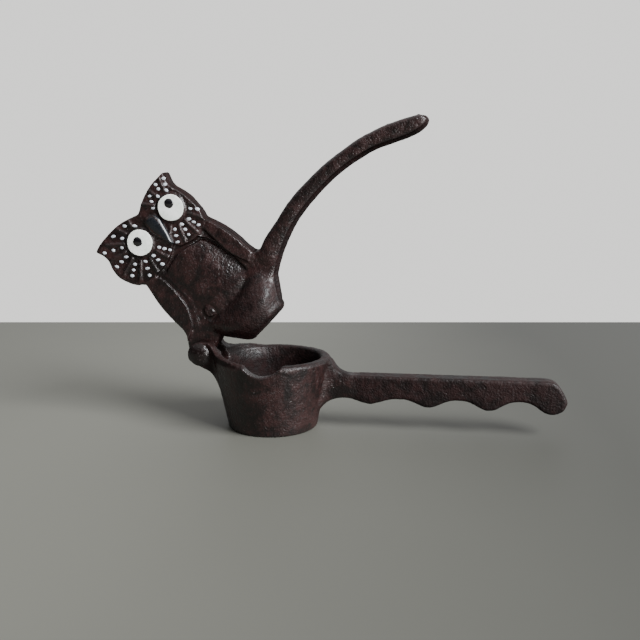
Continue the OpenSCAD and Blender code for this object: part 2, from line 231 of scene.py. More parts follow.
class Wiring:
    """Short ways to add nodes to a tree and to join them."""

    def __init__(self, tree):
        self.tree = tree

    def node(self, kind, settings=None, **inputs):
        """A new node. Its inputs are fed by name, with _ for a space, or by place: i0, i1 and so on."""
        made = self.tree.nodes.new(kind)
        for key, value in (settings or {}).items():
            setattr(made, key, value)
        for key, value in inputs.items():
            by_place = key[0] == "i" and key[1:].isdigit()
            self.feed(made.inputs[int(key[1:]) if by_place else key.replace("_", " ")], value)
        return made

    def feed(self, into, value):
        """Joins a socket to an input, or sets the input to a plain value."""
        if isinstance(value, bpy.types.NodeSocket):
            self.tree.links.new(value, into)
        else:
            into.default_value = value

    def math(self, operation, a, b=0.0, clamp=False):
        settings = {"operation": operation, "use_clamp": clamp}
        return self.node("ShaderNodeMath", settings, i0=a, i1=b).outputs[0]

    def times(self, a, b):
        return self.math("MULTIPLY", a, b)

    def plus(self, a, b, clamp=False):
        return self.math("ADD", a, b, clamp)

    def minus(self, a, b):
        return self.math("SUBTRACT", a, b)

    def between(self, value, low, high, to_low=0.0, to_high=1.0):
        """A smooth step from to_low, where the value is low, to to_high, where it is high."""
        made = self.node("ShaderNodeMapRange", {"interpolation_type": "SMOOTHSTEP"}, Value=value,
                         From_Min=low, From_Max=high, To_Min=to_low, To_Max=to_high)
        return made.outputs["Result"]

    def mix(self, share, a, b):
        """Colour a, with a share of colour b."""
        made = self.node("ShaderNodeMix", {"data_type": "RGBA"}, i0=share, i6=a, i7=b)
        return made.outputs[2]

    def speckle(self, where, scale, detail=2.0, roughness=0.5, distortion=0.0):
        made = self.node("ShaderNodeTexNoise", Vector=where, Scale=scale, Detail=detail, Roughness=roughness,
                         Distortion=distortion)
        return made.outputs["Fac"]

    def stored(self, name):
        """A mask that the mesh keeps for each of its points."""
        settings = {"attribute_type": "GEOMETRY", "attribute_name": name}
        return self.node("ShaderNodeAttribute", settings).outputs["Fac"]


def cast_grain_group():
    """Grain, pits and mottling of a sand casting under a thin coat."""
    name = "Cast grain"
    if name in bpy.data.node_groups:
        return bpy.data.node_groups[name]
    tree = bpy.data.node_groups.new(name, "ShaderNodeTree")
    socket(tree, "Vector", "NodeSocketVector")
    socket(tree, "Grain size", "NodeSocketFloat", value=0.8 * MM)
    socket(tree, "Pits", "NodeSocketFloat", value=1.0)
    for result in ("Height", "Mottling", "Bare spots"):
        socket(tree, result, "NodeSocketFloat", "OUTPUT")
    w = Wiring(tree)
    given = w.node("NodeGroupInput").outputs
    where = given["Vector"]
    per_grain = w.math("DIVIDE", 1.0, given["Grain size"])
    fine = w.speckle(where, per_grain, 1.0, 0.6)
    coarse = w.speckle(where, w.times(per_grain, 0.3), 2.0, 0.5, 0.4)
    broad = w.speckle(where, w.times(per_grain, 0.07), 4.0, 0.62, 0.8)
    cells = w.node("ShaderNodeTexVoronoi", {"feature": "F1"}, Vector=where, Scale=w.times(per_grain, 0.42))
    rare = w.between(w.speckle(where, w.times(per_grain, 0.16)), 0.58, 0.66)
    pit = w.times(w.between(cells.outputs["Distance"], 0.1, 0.26, 1.0, 0.0), given["Pits"])
    grains = w.plus(w.times(fine, 0.75), w.times(coarse, 0.4))
    mottling = w.plus(w.times(broad, 0.6), w.times(coarse, 0.4))
    high_spots = w.plus(fine, w.times(broad, 0.5))
    w.node("NodeGroupOutput", Height=w.minus(grains, w.times(w.times(pit, rare), 0.35)),
           Mottling=w.between(mottling, 0.38, 0.64), Bare_spots=w.between(high_spots, 0.88, 1.0))
    return tree


def parting_line_group():
    """The thin raised line that the two halves of the mould leave half way through a casting."""
    tree = bpy.data.node_groups.new("Parting line", "ShaderNodeTree")
    socket(tree, "Vector", "NodeSocketVector")
    socket(tree, "Width", "NodeSocketFloat", value=0.35 * MM)
    socket(tree, "Height", "NodeSocketFloat", "OUTPUT")
    w = Wiring(tree)
    given = w.node("NodeGroupInput").outputs
    across = w.node("ShaderNodeSeparateXYZ", Vector=given["Vector"]).outputs["Y"]
    wander = w.times(w.minus(w.speckle(given["Vector"], 90.0), 0.5), 0.5 * MM)
    off = w.math("ABSOLUTE", w.plus(across, wander))
    w.node("NodeGroupOutput", Height=w.between(w.math("DIVIDE", off, given["Width"]), 0.4, 1.0, 1.0, 0.0))
    return tree


def blank_material(name):
    """A new material with nothing in it, its wiring, and the place of each point on the object."""
    material = bpy.data.materials.new(name)
    material.use_nodes = True
    material.node_tree.nodes.clear()
    w = Wiring(material.node_tree)
    return material, w, w.node("ShaderNodeTexCoord").outputs["Object"]


def bump(w, height, distance, strength=1.0, under=None):
    """The normal after a height is laid on the surface, over another normal if there is one."""
    made = w.node("ShaderNodeBump", Height=height, Distance=distance, Strength=strength)
    if under is not None:
        w.feed(made.inputs["Normal"], under)
    return made.outputs["Normal"]


def finish_shader(w, shader):
    w.node("ShaderNodeOutputMaterial", Surface=shader.outputs["BSDF"])


COAT_IOR = 1.42
COAT_WEIGHT = 0.2
SPECULAR_GLOSSY, SPECULAR_MATT = 0.5, 0.1
# Grain's high spots show bare iron. Edges that stand out are lightened towards it too, partly as worn iron
# and partly as a painted highlight.
BARE_ON_SPOTS, WEAR_AND_HIGHLIGHT_ON_EDGES = 0.5, 0.2
DARKENED_SHARE, DULL_ROUGHENS, WEAR_POLISHES = 0.6, 0.3, 0.06


def coated_iron(name, look, grain_scale=1.0, grain_share=1.0, parting=0.0, gloss=0.0, thin=1.0, fade=0.85):
    """Semi-gloss brown-black coat over grainy iron, thin and reddish in places.

    grain_scale and grain_share change the grain's size and depth, and parting is the height of the mould's
    line. gloss takes away from the roughness, thin is how reddish the thin places are, and fade is how much
    of the gloss is lost where the surface turns away from the viewer.
    """
    material, w, where = blank_material(name)
    grain = w.node("ShaderNodeGroup", {"node_tree": cast_grain_group()}, Vector=where, Pits=grain_share,
                   Grain_size=look.grain_size * grain_scale).outputs
    edge, dull = w.stored("wear"), w.stored("dull")
    # Lighter towards iron on high spots, and on edges as worn iron and painted highlight.
    bare_and_highlight = w.math("MAXIMUM", w.times(grain["Bare spots"], BARE_ON_SPOTS), w.times(edge, WEAR_AND_HIGHLIGHT_ON_EDGES))
    colour = w.mix(w.times(grain["Mottling"], thin), (*look.coat_dark, 1), (*look.coat_red, 1))
    colour = w.mix(bare_and_highlight, colour, (*look.iron_and_edge_highlight, 1))
    # Darker where the mask says: painted shade inside the cup, and a darker coat on the lever's walls and
    # plunger, the lip, grip and hinge.
    colour = w.mix(w.times(dull, DARKENED_SHARE), colour, (*look.coat_dark, 1))
    roughness = w.between(grain["Mottling"], 0.0, 1.0, look.gloss_low - gloss, look.gloss_high - gloss)
    roughness = w.plus(w.minus(roughness, w.times(edge, WEAR_POLISHES)), w.times(dull, DULL_ROUGHENS))
    normal = bump(w, grain["Height"], look.grain_depth * grain_share)
    if parting:
        line = w.node("ShaderNodeGroup", {"node_tree": parting_line_group()}, Vector=where).outputs["Height"]
        normal = bump(w, line, parting, under=normal)
    facing = w.node("ShaderNodeLayerWeight").outputs["Facing"]
    matt = w.math("MAXIMUM", dull, w.between(facing, 0.45, 0.95, 0.0, fade))
    finish_shader(w, w.node(
        "ShaderNodeBsdfPrincipled", Base_Color=colour, Roughness=roughness, Normal=normal, IOR=COAT_IOR,
        Specular_IOR_Level=w.between(matt, 0.0, 1.0, SPECULAR_GLOSSY, SPECULAR_MATT),
        Coat_Weight=w.between(matt, 0.0, 1.0, COAT_WEIGHT, 0.0), Coat_Roughness=0.2))
    return material


ENAMEL_IOR = 1.52
BRUSH_MARKS = 0.06 * MM


def brushed_enamel(name, colour, shades, roughness, streak=0.9 * MM, coat=0.4):
    """Enamel laid on with a small brush. Its colour varies between the colour and its shade, which is the
    colour times shades, and streak is the width of a brush mark.
    """
    material, w, where = blank_material(name)
    strokes = w.speckle(where, 1 / streak, 3.0, 0.55, 0.6)
    blotch = w.speckle(where, 0.22 / streak, 2.0)
    share = w.between(w.plus(w.times(strokes, 0.5), w.times(blotch, 0.5)), 0.35, 0.65)
    shade = [c * s for c, s in zip(colour, shades)]
    finish_shader(w, w.node(
        "ShaderNodeBsdfPrincipled", Base_Color=w.mix(share, (*colour, 1), (*shade, 1)),
        Roughness=w.between(strokes, 0.3, 0.7, roughness * 0.8, roughness * 1.3),
        Normal=bump(w, strokes, BRUSH_MARKS, 0.6), IOR=ENAMEL_IOR, Coat_Weight=coat, Coat_Roughness=0.08))
    return material


def dress(piece, material, smooth=True):
    piece.data.materials.clear()
    piece.data.materials.append(material)
    if smooth:
        piece.data.shade_smooth()


# ---------------------------------------------------------------- sizes and colours a user would change

LENGTH = {"subtype": "DISTANCE", "unit": "LENGTH", "precision": 5}
COLOUR = {"subtype": "COLOR", "size": 3, "min": 0, "max": 1}
GLOW = {"subtype": "COLOR", "size": 3, "min": 0, "max": 2}
ROUGHNESS = {"subtype": "FACTOR", "min": 0, "max": 1}
POWER = {"subtype": "POWER", "unit": "POWER", "min": 0}


class PressCastingLook(bpy.types.PropertyGroup):
    base_grid: FloatProperty(
        name="Base grid", description="Size of the quads of the base's skin",
        default=0.455 * MM, min=0.4 * MM, max=1.5 * MM, **LENGTH)
    lever_grid: FloatProperty(
        name="Lever grid", description="Size of the quads of the lever's skin",
        default=0.408 * MM, min=0.36 * MM, max=1.5 * MM, **LENGTH)
    edge_passes: IntProperty(
        name="Edge softening", description="How far the cast edges are rounded, in passes",
        default=3, min=0, max=30)
    unevenness: FloatProperty(
        name="Unevenness", description="Height of the castings' slow waves",
        default=0.11 * MM, **LENGTH)
    flute_height: FloatProperty(
        name="Flute height", description="Height of the ridges round the eyes",
        default=0.5 * MM, **LENGTH)
    grain_size: FloatProperty(
        name="Grain size", description="Size of the cast grain",
        default=0.9 * MM, **LENGTH)
    grain_depth: FloatProperty(
        name="Grain depth", description="Depth of the cast grain",
        default=0.4 * MM, **LENGTH)
    coat_dark: FloatVectorProperty(
        name="Coat", description="Brown-black of the coat",
        default=(0.005, 0.003, 0.0028), **COLOUR)
    coat_red: FloatVectorProperty(
        name="Thin coat", description="Reddish brown where the coat is thin",
        default=(0.0195, 0.0066, 0.006), **COLOUR)
    # Also the colour the standing-out edges are lightened to: partly worn iron, partly painted highlight.
    iron_and_edge_highlight: FloatVectorProperty(
        name="Iron", description="Grey-brown of the iron's high spots",
        default=(0.042, 0.033, 0.033), **COLOUR)
    gloss_low: FloatProperty(
        name="Glossiest", description="Roughness where the coat is thick",
        default=0.29, **ROUGHNESS)
    gloss_high: FloatProperty(
        name="Dullest", description="Roughness where the coat is thin",
        default=0.42, **ROUGHNESS)


class PressEnamelLook(bpy.types.PropertyGroup):
    eye_radius: FloatProperty(
        name="Eye radius", description="Radius of the white of each eye",
        default=5.8 * MM, **LENGTH)
    pupil_radius: FloatProperty(
        name="Pupil radius", description="Radius of each pupil",
        default=2.2 * MM, **LENGTH)
    dab_length: FloatProperty(
        name="Dab length", description="Length of a feather dab",
        default=1.95 * MM, **LENGTH)
    dab_width: FloatProperty(
        name="Dab width", description="Width of a feather dab",
        default=1.3 * MM, **LENGTH)
    dab_height: FloatProperty(
        name="Dab height", description="How far a dab stands out",
        default=0.28 * MM, **LENGTH)
    white: FloatVectorProperty(
        name="Eye white", description="Cream white of the eyes",
        default=(0.93, 0.94, 0.9), **COLOUR)
    dab_white: FloatVectorProperty(
        name="Dab white", description="Cool white of the dabs",
        default=(0.6, 0.64, 0.69), **COLOUR)
    black: FloatVectorProperty(
        name="Pupil black", description="Black of the pupils",
        default=(0.0015, 0.0015, 0.002), **COLOUR)
    beak_black: FloatVectorProperty(
        name="Beak black", description="Blue-black of the beak",
        default=(0.0032, 0.0038, 0.0052), **COLOUR)


class PressStageLook(bpy.types.PropertyGroup):
    floor: FloatVectorProperty(
        name="Floor", description="Pale grey of the floor",
        default=(0.125, 0.1235, 0.105), **COLOUR)
    # Painted shade: the colour the floor darkens to on its right.
    floor_painted_shade: FloatVectorProperty(
        name="Floor, right", description="Shade of the floor on the right",
        default=(0.034, 0.0338, 0.028), **COLOUR)
    backdrop: FloatVectorProperty(
        name="Backdrop", description="Pale grey behind the press",
        default=(1.25, 1.24, 1.21), **GLOW)
    front_glow: FloatVectorProperty(
        name="Front glow", description="Dim light from the front",
        default=(0.06, 0.058, 0.058), **GLOW)
    above: FloatVectorProperty(
        name="Light above", description="Light from above, in front",
        default=(0.68, 0.69, 0.70), **GLOW)
    right_glow: FloatVectorProperty(
        name="Right glow", description="Even light from the right",
        default=(0.85, 0.86, 0.87), **GLOW)
    low_power: FloatProperty(
        name="Low light", description="Power of the soft low light on the right",
        default=11.0, **POWER)
    side_power: FloatProperty(
        name="Right light", description="Power of the large light on the right",
        default=96.0, **POWER)


# ---------------------------------------------------------------- relief on the front of the lever

# Drawn lines on the upright owl, X and Z from the rivet
RIGHT_WING_EDGE = [(46, 11.5), (44.6, 15), (43, 20), (42.2, 27), (40.4, 33.5), (37.5, 37.5)]
LEFT_WING_EDGE = [(6.5, 10.6), (9.6, 14.8), (12, 19.5), (13, 25.5), (13.3, 31), (12.8, 36.8)]
BREAST_FOOT = [(46, 11.5), (42.5, 9.6), (37.1, 7.8), (32.1, 6.8), (26.5, 6.3), (21.2, 6.2), (15.4, 6.4)]
HANDLE_MIDDLE = [(54, 7), (58.5, 9), (64, 10.6), (70, 11.9), (79, 13.2), (88, 13.4), (96, 12.9), (104, 11.6),
                 (112, 9.7), (120, 7), (128, 3.4), (134, 0.4), (137.5, -1.2)]

# The ridges round the eyes, by their angles, and where they run, from the eye's middle
LEFT_FLUTES = (104, 137.5, 163, 192, 220, 253, 286, 318, 72)
RIGHT_FLUTES = (40, 66, 97, 126, 218, 245, 270, 296, 325)
FLUTES_START, FLUTES_END = 7.0, 18.0
RIDGE_WIDTH = 0.42
EYE_GROOVE_RADIUS, EYE_GROOVE_DEPTH = 7.1, 0.45

CHIN, FACE_FOOT = 36, 39
LEFT_WING_RIDGE, RIGHT_WING_RIDGE = 0.26, 0.15
BREAST_MIDDLE, BREAST_HALF = 27.8, 14.5
BREAST_LOW, BREAST_TOP = 9, 38
BREAST_FALL = 2.2
BOSS = (16.6, 10.2)
BOSS_RADIUS, BOSS_HEIGHT = 2.6, 0.5
BREAST_NIBS = [(27.6, 29.8), (29.4, 30.9), (31.3, 28.4), (26.1, 28.3), (33.8, 20.4), (21.5, 25.8),
               (28.9, 27.4)]
NIB_HEIGHT, NIB_WIDTH = 0.3, 0.45


def flutes(x, z, eye, angles):
    """Thin ridges that run out from an eye, with hollows where the dabs lie. 1 is a ridge's height."""
    dx, dz = x - eye[0], z - eye[1]
    reach = np.hypot(dx, dz)
    angle = np.degrees(np.arctan2(dz, dx))
    turn = np.min([np.abs((angle - a + 180) % 360 - 180) for a in angles], axis=0)
    gap = np.radians(turn) * reach
    shown = rise(reach, FLUTES_START, 1.4) * fall(reach, FLUTES_END, 2.5)
    return shown * (bell(gap, RIDGE_WIDTH) - 0.6 * ease(gap / 1.3))


def face_relief(x, z, depth, flute_height):
    """The fluted rays, and the groove round each eye's disc."""
    to_left = np.hypot(x - LEFT_EYE[0], z - LEFT_EYE[1])
    to_right = np.hypot(x - RIGHT_EYE[0], z - RIGHT_EYE[1])
    rays = np.where(to_left < to_right, flutes(x, z, LEFT_EYE, LEFT_FLUTES),
                    flutes(x, z, RIGHT_EYE, RIGHT_FLUTES))
    groove = EYE_GROOVE_DEPTH * bell(np.minimum(to_left, to_right) - EYE_GROOVE_RADIUS, 0.55)
    on_face = rise(depth, FACE_DEPTH - 1, 0.5) * fall(depth, FACE_DEPTH + 0.6, 0.3) * (z > CHIN)
    return on_face * (flute_height * rays - groove)


def wing_relief(x, z, depth):
    """The ridge along the inner edge of each wing, and the soft step beside the left one."""
    ridges = LEFT_WING_RIDGE * bell(from_line(x, z, LEFT_WING_EDGE), 0.55)
    ridges += RIGHT_WING_RIDGE * bell(from_line(x, z, RIGHT_WING_EDGE), 0.8)
    step = 0.6 * bell(from_line(x - 1.7, z, LEFT_WING_EDGE), 1.3) * fall(depth, FACE_DEPTH - 1, 0.8)
    return (z < FACE_FOOT) * (ridges + step)


def breast_relief(x, z):
    """The breast falls away to its right, and a hollow runs along its foot."""
    across = (x - BREAST_MIDDLE) / BREAST_HALF
    on_breast = rise(z, BREAST_LOW, 4) * fall(z, BREAST_TOP, 3) * fall(np.abs(across), 1.05, 0.1)
    hollow = 0.35 * bell(from_line(x, z, BREAST_FOOT), 2.2)
    return -on_breast * BREAST_FALL * np.maximum(across, 0) ** 2 - hollow


def boss_relief(x, z):
    """The small round boss low on the breast, lumpy on top and with a groove round it."""
    reach = np.hypot(x - BOSS[0], (z - BOSS[1]) * 0.85)
    lumpy = 0.35 * np.sin(x * 3.1 + z) * np.cos(z * 2.7 - x)
    groove = 0.35 * bell(reach - BOSS_RADIUS - 0.5, 0.6)
    return fall(reach, BOSS_RADIUS, 1.1) * (BOSS_HEIGHT + lumpy) - groove


def nib_relief(x, z):
    """Small nibs of stray metal on the breast."""
    return sum(NIB_HEIGHT * bell(np.hypot(x - nib_x, z - nib_z), NIB_WIDTH) for nib_x, nib_z in BREAST_NIBS)


def lever_relief(x, z, depth, flute_height):
    """How far the front of the lever moves towards the viewer, in millimetres."""
    return (face_relief(x, z, depth, flute_height) + wing_relief(x, z, depth) + breast_relief(x, z)
            + boss_relief(x, z) + nib_relief(x, z))


# ---------------------------------------------------------------- the two castings

# Where the lever's forms begin and end, in X or Z
PLUNGER_LEFT, PLUNGER_RIGHT, PLUNGER_TOP = 8, 54, 11
ROOT_LEFT, ROOT_RIGHT, ROOT_LOW, ROOT_TOP = 37, 60, -5, 13
HANDLE_LEFT, HANDLE_TOP = 42, 18
TIP_TOP = -11
LEG_RADIUS = 6

# Slow unevenness: share, size in millimetres and seed of each kind of lump
LEVER_WAVES = ((1.0, 9, 3.1), (0.7, 3.2, 8.7), (0.7, 1.4, 4.9))
BASE_WAVES = ((1.0, 10, 5.3), (0.9, 3.4, 1.9), (0.8, 1.5, 2.6))

HANDLE_CROWN, HANDLE_HALF = 1.4, 5.4
CAST_LINE_HEIGHT, CAST_LINE_WIDTH = 0.3, 0.4

# The strip along the middle of the right side: half its thickness, how far the wall beside it stands back,
# and how much further it does along the handle, evenly and in a groove
STRIP_HALF = 1.8
SIDE_STEP = 0.7
HANDLE_STEP, HANDLE_GROOVE = 0.5, 0.6
HANDLE_NIBS = ((128.4, 8.1), (139.6, 0.9))
HANDLE_NIB_HEIGHT, HANDLE_NIB_WIDTH = 0.5, 0.7


def round_roots(points, edges):
    """Rounds the plunger, the breast's foot and the handle's root, where the fillets are widest."""
    x, depth, z = off_lever(points)
    off_middle = np.abs(depth)
    plunger = rise(x, PLUNGER_LEFT, 4) * fall(x, PLUNGER_RIGHT, 4) * fall(z, PLUNGER_TOP, 4)
    plunger *= rise(off_middle, 3.6, 1)
    breast_foot = bell(from_line(x, z, BREAST_FOOT), 3.2)
    points = softened(points, edges, 30, np.maximum(0.8 * plunger, breast_foot))
    root = rise(x, ROOT_LEFT, 5) * fall(x, ROOT_RIGHT, 5) * rise(z, ROOT_LOW, 4) * fall(z, ROOT_TOP, 4)
    return softened(points, edges, 90, root * rise(off_middle, 2.6, 1))


def side_relief(x, depth, z, normals, handle):
    """How far the lever's side moves outwards: a cast line all round, halfway between front and back, and on
    the right a wall that stands back from a strip along the middle, deeper along the handle.
    """
    off_middle = np.abs(depth)
    from_rivet = np.hypot(x, z)
    line = CAST_LINE_HEIGHT * bell(depth, CAST_LINE_WIDTH)
    line *= fall(np.abs(normals[:, 1]), 0.6, 0.3) * rise(from_rivet, LEG_RADIUS, 2)
    step = SIDE_STEP + handle * (HANDLE_STEP + HANDLE_GROOVE * bell(off_middle - 2.2, 0.45))
    right_wall = rise(np.hypot(normals[:, 0], normals[:, 2]), 0.32, 0.27) * rise(normals[:, 0], 0, 0.3)
    right_wall *= rise(from_rivet, LEG_RADIUS + 2, 3) * rise(z, TIP_TOP, 2)
    relief = line - step * rise(off_middle, STRIP_HALF, 0.45) * right_wall
    for nib_x, nib_z in HANDLE_NIBS:
        nib = HANDLE_NIB_HEIGHT * bell(np.hypot(x - nib_x, z - nib_z), HANDLE_NIB_WIDTH)
        relief += nib * bell(depth, 1.5)
    return relief


def lever_dulling_and_darkening(x, depth, z, normals, handle):
    """Where the lever's coat is made darker and duller: on its walls, the plunger's cone and the plunger's
    tip.
    """
    off_middle = np.abs(depth)
    wall = fall(np.abs(normals[:, 1]), 0.45, 0.2) * fall(off_middle, 7.2, 0.5)
    wall *= rise(np.hypot(x, z), LEG_RADIUS, 2)
    shoulder = handle * rise(off_middle, 2.4, 0.4)
    cone = 0.5 * rise(x, 18, 8) * fall(z, 12, 5) * rise(off_middle, 4.2, 1)
    tip = 0.5 * fall(z, TIP_TOP, 1.2)
    return np.maximum.reduce([0.9 * wall * (1 - 0.9 * shoulder), cone, tip])


def sculpt_lever(piece, look):
    """Gives the lever soft cast edges, its relief and slow unevenness."""
    mesh = piece.data
    edges = read_edges(mesh)
    points = round_roots(softened(read_points(mesh), edges, look.edge_passes), edges)
    write_points(mesh, points)
    normals = read_normals(mesh)
    x, depth, z = off_lever(points)
    handle = rise(x, HANDLE_LEFT, 4) * fall(z, HANDLE_TOP, 4)
    front = lever_relief(x, z, depth, look.flute_height / MM) * rise(-normals[:, 1], 0.25, 0.5)
    crown = HANDLE_CROWN * np.maximum(0, 1 - (from_line(x, z - 1.3, HANDLE_MIDDLE) / HANDLE_HALF) ** 2)
    points[:, 1] -= (front - crown * normals[:, 1]) * MM
    sideways = normals * [[1, 0, 1]]
    points += side_relief(x, depth, z, normals, handle)[:, None] * sideways * MM
    points = softened(points, edges, 1)
    off_rivet = rise(np.hypot(x, z), LEG_RADIUS + 1, 2)
    points += normals * (waves(points, LEVER_WAVES) * off_rivet * look.unevenness)[:, None]
    write_points(mesh, points)
    keep_wear_highlight_and_darkening(mesh, edges, lever_dulling_and_darkening(x, depth, z, normals, handle))


# The cup's cones: how much wider each is per millimetre of height, and its radius at the foot
CUP_TAPER = 0.19
OUTER_CONE = 20.5
INNER_CONE = 16.163

# Where the base's forms begin and end: X along the grip, and Z up
GRIP_MEETS_CUP, EARS_MEET_CUP = 26, -23
GRIP_LEFT, GRIP_START_LEFT, GRIP_START_RIGHT = 34, 24, 38
CUP_FLOOR, CUP_LIP = 4.5, 30.6


def base_dulling_and_shade(x, z, reach):
    """Where the base is made darker and duller: painted shade inside the cup, and a darker, duller coat on
    its lip, along the grip and round the hinge.
    """
    # Painted shade: the inside of the cup is darkened, as where shadow falls in it.
    painted_shade_in_cup = fall(reach, INNER_CONE + CUP_TAPER * z, 0.8) * rise(z, CUP_FLOOR, 0.5)
    lip = 0.65 * rise(z, CUP_LIP, 0.8) * rise(reach, 20, 1)
    grip = 0.7 * rise(x, GRIP_LEFT, 6)
    grip_start = 0.75 * rise(x, GRIP_START_LEFT, 2) * fall(x, GRIP_START_RIGHT, 4) * rise(z, 22, 2)
    hinge = 0.6 * fall(x, EARS_MEET_CUP, 3)
    return np.maximum.reduce([painted_shade_in_cup, lip, grip, grip_start, hinge])


def sculpt_base(piece, look):
    """Gives the base soft cast edges, fillets where the grip and the ears meet the cup, and unevenness."""
    mesh = piece.data
    edges = read_edges(mesh)
    points = softened(read_points(mesh), edges, look.edge_passes)
    x, y, z = (points / MM).T
    reach = np.hypot(x, y)
    outside = rise(reach, OUTER_CONE + CUP_TAPER * z, 0.5)
    grip_root = 1.4 * bell(x - GRIP_MEETS_CUP, 8) * bell(np.abs(y) - 6.5, 5.5) * fall(z, 29, 3)
    ear_root = bell(x - EARS_MEET_CUP, 6) * bell(np.abs(y) - 9, 4) * fall(z, 27, 4)
    points = softened(points, edges, 120, np.minimum(1, outside * (grip_root + ear_root)))
    write_points(mesh, points)
    off_rivet = rise(np.hypot(x - PIVOT[0], z - PIVOT[2]), 7, 2)
    height = waves(points, BASE_WAVES) * off_rivet * rise(z, 1, 2) * look.unevenness
    write_points(mesh, points + read_normals(mesh) * height[:, None])
    keep_wear_highlight_and_darkening(mesh, edges, base_dulling_and_shade(x, z, reach))


class PRESS_OT_base_casting(bpy.types.Operator):
    """Make the cup, the grip and the hinge ears as one casting."""
    bl_idname = "press.base_casting"
    bl_label = "Base casting"

    def execute(self, context):
        look = context.scene.press_casting
        piece = casting_skin("cup_base", "base_casting", look.base_grid)
        sculpt_base(piece, look)
        dress(piece, coated_iron("Coated iron, base", look))
        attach(piece, "base")
        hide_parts("cup_base")
        return {"FINISHED"}


class PRESS_OT_lever_casting(bpy.types.Operator):
    """Make the owl, its leg, the plunger and the handle as one casting."""
    bl_idname = "press.lever_casting"
    bl_label = "Lever casting"

    def execute(self, context):
        look = context.scene.press_casting
        piece = casting_skin("owl_lever", "lever_casting", look.lever_grid)
        sculpt_lever(piece, look)
        dress(piece, coated_iron("Coated iron, lever", look, parting=0.22 * MM, fade=0.35))
        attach(piece, "lever")
        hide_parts("owl_lever")
        return {"FINISHED"}


class PRESS_OT_rivet(bpy.types.Operator):
    """Give the rivet its coated finish."""
    bl_idname = "press.rivet"
    bl_label = "Rivet"

    def execute(self, context):
        look = context.scene.press_casting
        finish = coated_iron("Coated iron, rivet", look, grain_scale=1.2, grain_share=0.8, gloss=0.17,
                             thin=0.1)
        dress(frame["nodes"]["pivot_rivet"], finish, smooth=False)
        return {"FINISHED"}


# ---------------------------------------------------------------- enamel

EDGE_ROUNDING = 0.12
RIM_SHARE = 0.985


def enamel_drop(centre, radius, bottom, rim, crown, wobble, seed, stretch=1.0, rings=14, steps=72):
    """A round pool of enamel on the lever, in millimetres. It stands from the depth of its bottom to its rim,
    which is rounded, and swells to its crown. Its outline wobbles, and is stretched sideways.
    """
    profile = [(1.0, bottom), (1.0, rim - EDGE_ROUNDING)]
    for ring in range(1, rings):
        out = math.cos(ring / rings * math.pi / 2)
        share = RIM_SHARE * (1 if ring == 1 else out)
        profile.append((share, rim + (crown - rim) * (1 - out ** 2) ** 0.8))
    verts, faces = [], []
    for share, depth in profile:
        for k in range(steps):
            a = 2 * math.pi * k / steps
            uneven = 1 + wobble * noise.noise(Vector((math.cos(a) * 1.3 + seed, math.sin(a) * 1.3, seed)))
            r = radius * share * (uneven if share > 0.5 else 1)
            verts.append(on_lever(centre[0] + r * math.cos(a) * stretch, depth, centre[1] + r * math.sin(a)))
    for i in range(len(profile) - 1):
        faces += ring_faces(i * steps, (i + 1) * steps, steps)
    top, base = len(verts), len(verts) + 1
    verts.append(on_lever(centre[0], crown, centre[1]))
    verts.append(on_lever(centre[0], bottom, centre[1]))
    last = (len(profile) - 1) * steps
    faces += [(last + k, top, last + (k + 1) % steps) for k in range(steps)]
    faces += [(k, (k + 1) % steps, base) for k in range(steps)]
    return verts, faces


def ring_faces(lower, upper, steps):
    """Quads between two rings of points, from the number of each ring's first point."""
    pairs = [(k, (k + 1) % steps) for k in range(steps)]
    return [(lower + k, upper + k, upper + m, lower + m) for k, m in pairs]


def enamel_piece(name, parts):
    """One piece of several closed shapes, with their faces turned outwards."""
    verts, faces = [], []
    for part_verts, part_faces in parts:
        start = len(verts)
        verts += [tuple(v) for v in part_verts]
        faces += [tuple(i + start for i in f) for f in part_faces]
    mesh = bpy.data.meshes.new(name)
    mesh.from_pydata(verts, [], faces)
    work = bmesh.new()
    work.from_mesh(mesh)
    bmesh.ops.recalc_face_normals(work, faces=work.faces)
    work.to_mesh(mesh)
    work.free()
    return new_piece(name, mesh)


def settle_enamel(piece, node):
    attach(piece, "lever")
    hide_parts(node)


WHITE_SUNK, WHITE_RIM, WHITE_CROWN = 0.5, 0.1, 0.3
PUPIL_RIM, PUPIL_CROWN = 0.3, 0.85
LEFT_PUPIL = (LEFT_EYE[0] - 0.26, LEFT_EYE[1] + 0.9)
RIGHT_PUPIL = (RIGHT_EYE[0] + 0.97, RIGHT_EYE[1] + 1.7)
WHITE_SHADES = (0.74, 0.79, 0.75)
BLACK_SHADES = (2.5, 2.5, 2.5)


